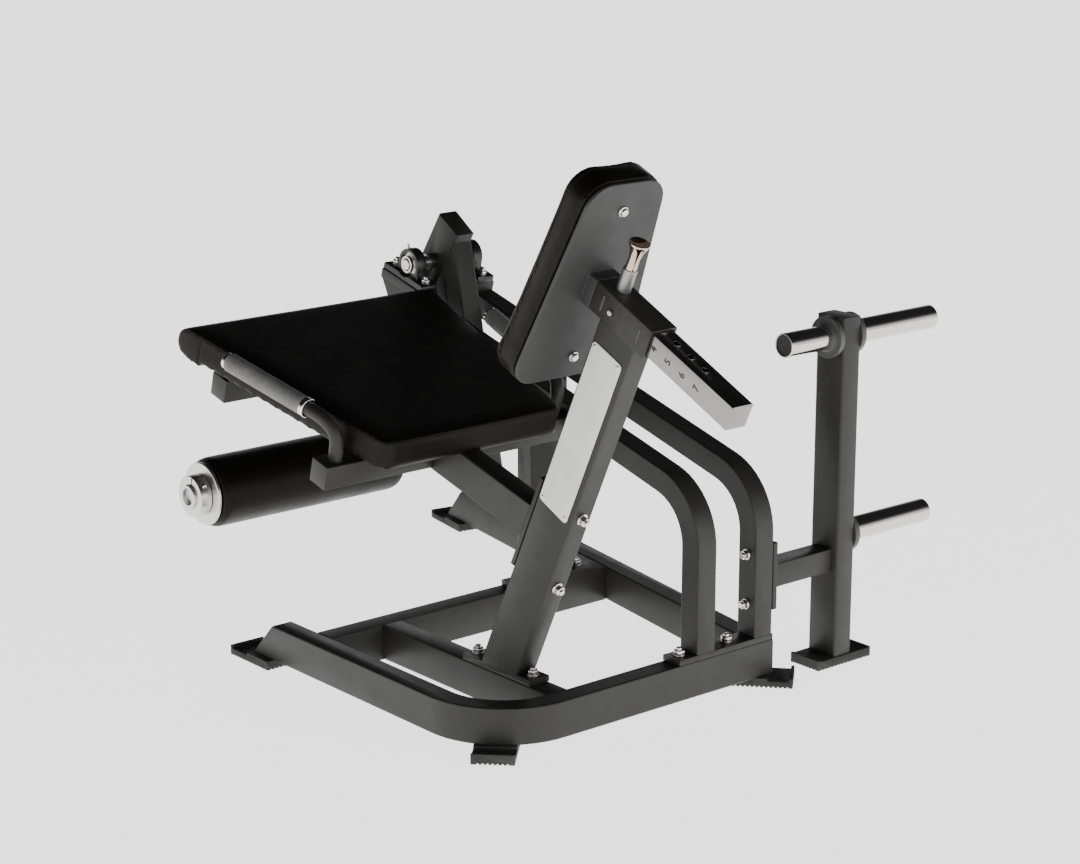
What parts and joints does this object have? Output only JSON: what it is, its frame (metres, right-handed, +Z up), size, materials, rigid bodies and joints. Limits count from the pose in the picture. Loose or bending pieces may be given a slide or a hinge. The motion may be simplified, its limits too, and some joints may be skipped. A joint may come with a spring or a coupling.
{
  "type": "leg extension machine",
  "caption": "Plate-loaded leg extension machine with a tilted seat, a sliding padded backrest, a swinging arm with a foam roller, side handles and plate storage horns.",
  "frame": {"origin": "bottom centre of the bounding box, on the floor plane", "axes": "+Z up, -Y toward the front where the user's legs extend, +X toward the seated user's left; the swing arm is on the right, at -X"},
  "size_m": [1.3242, 1.8124, 1.1347],
  "materials": {
    "frame_steel": "matte charcoal powder coat, fine texture",
    "pad_vinyl": "black upholstery vinyl with a fine grain",
    "foot_rubber": "matte moulded rubber",
    "grip_rubber": "matte grey rubber sleeve",
    "bright_chrome": "polished chrome",
    "satin_steel": "satin stainless steel",
    "zinc_fastener": "bright zinc plate",
    "dark_casting": "black painted casting",
    "back_board": "matte dark grey moulded board",
    "blank_plate": "matte light plate with no lettering"
  },
  "bodies": {
    "frame": {"crossbeam_rear_left": "frame_steel", "crossbeam_rear_right": "frame_steel", "crossbeam_front_left": "frame_steel", "crossbeam_front_right": "frame_steel", "seat_pad": "pad_vinyl", "handle_left": "frame_steel", "grip_core_left": "bright_chrome", "grip_left": "grip_rubber", "handle_right": "frame_steel", "grip_core_right": "bright_chrome", "grip_right": "grip_rubber", "slide_sleeve": "frame_steel", "pin_housing": "satin_steel", "name_plate": "blank_plate", "post_bolt_upper": "zinc_fastener", "post_bolt_lower": "zinc_fastener", "pillow_block_inner": "dark_casting", "bearing_insert_inner": "satin_steel", "pillow_block_outer": "dark_casting", "bearing_insert_outer": "satin_steel", "base_side_rail": "frame_steel", "base_right_rail": "frame_steel", "base_front_rail": "frame_steel", "base_centre_rail": "frame_steel", "foot_front_left": "foot_rubber", "foot_front_right": "foot_rubber", "foot_rear_left": "foot_rubber", "foot_rear_right": "foot_rubber", "foot_storage": "foot_rubber", "seat_post": "frame_steel", "main_beam_flange": "frame_steel", "main_beam": "frame_steel", "bent_tube_inner": "frame_steel", "bent_tube_outer": "frame_steel", "bent_tube_plate": "frame_steel", "support_post": "frame_steel", "arm_stop": "foot_rubber", "storage_post": "frame_steel", "storage_beam": "frame_steel", "storage_bolt_upper": "zinc_fastener", "storage_bolt_lower": "zinc_fastener", "storage_horn_upper_left": "bright_chrome", "storage_horn_upper_right": "bright_chrome", "storage_horn_lower": "bright_chrome"},
    "backrest": {"slide_bar": "satin_steel", "back_plate": "back_board", "back_cushion": "pad_vinyl", "back_bolt_upper": "zinc_fastener", "back_bolt_lower": "zinc_fastener"},
    "pull_pin": {"pull_pin": "bright_chrome"},
    "swing_arm": {"arm_front_leg": "frame_steel", "arm_rear_leg": "frame_steel", "arm_gusset": "frame_steel", "pivot_shaft": "satin_steel", "load_horn": "bright_chrome", "roller_bracket": "frame_steel", "roller_axle": "satin_steel", "roller_clamp": "satin_steel"},
    "roller": {"roller_foam": "pad_vinyl", "roller_end_disc": "satin_steel"}
  },
  "joints": [
    {"name": "arm_swing", "type": "hinge", "parent": "frame", "child": "swing_arm", "pos_m": [-0.09208, -0.48182, 0.7466], "axis": [-1, 0, 0], "range_deg": [0, 100]},
    {"name": "roller_spin", "type": "hinge", "parent": "swing_arm", "child": "roller", "pos_m": [0.31792, -0.41952, 0.348], "axis": [1, 0, 0], "continuous": true},
    {"name": "backrest_slide", "type": "slide", "parent": "frame", "child": "backrest", "axis": [0, -0.9063, 0.4226], "range_m": [0, 0.24]},
    {"name": "pin_pull", "type": "slide", "parent": "frame", "child": "pull_pin", "axis": [0, 0.4226, 0.9063], "range_m": [0, 0.012], "stiffness_N_per_m": 800, "springref_m": -0.008}
  ]
}
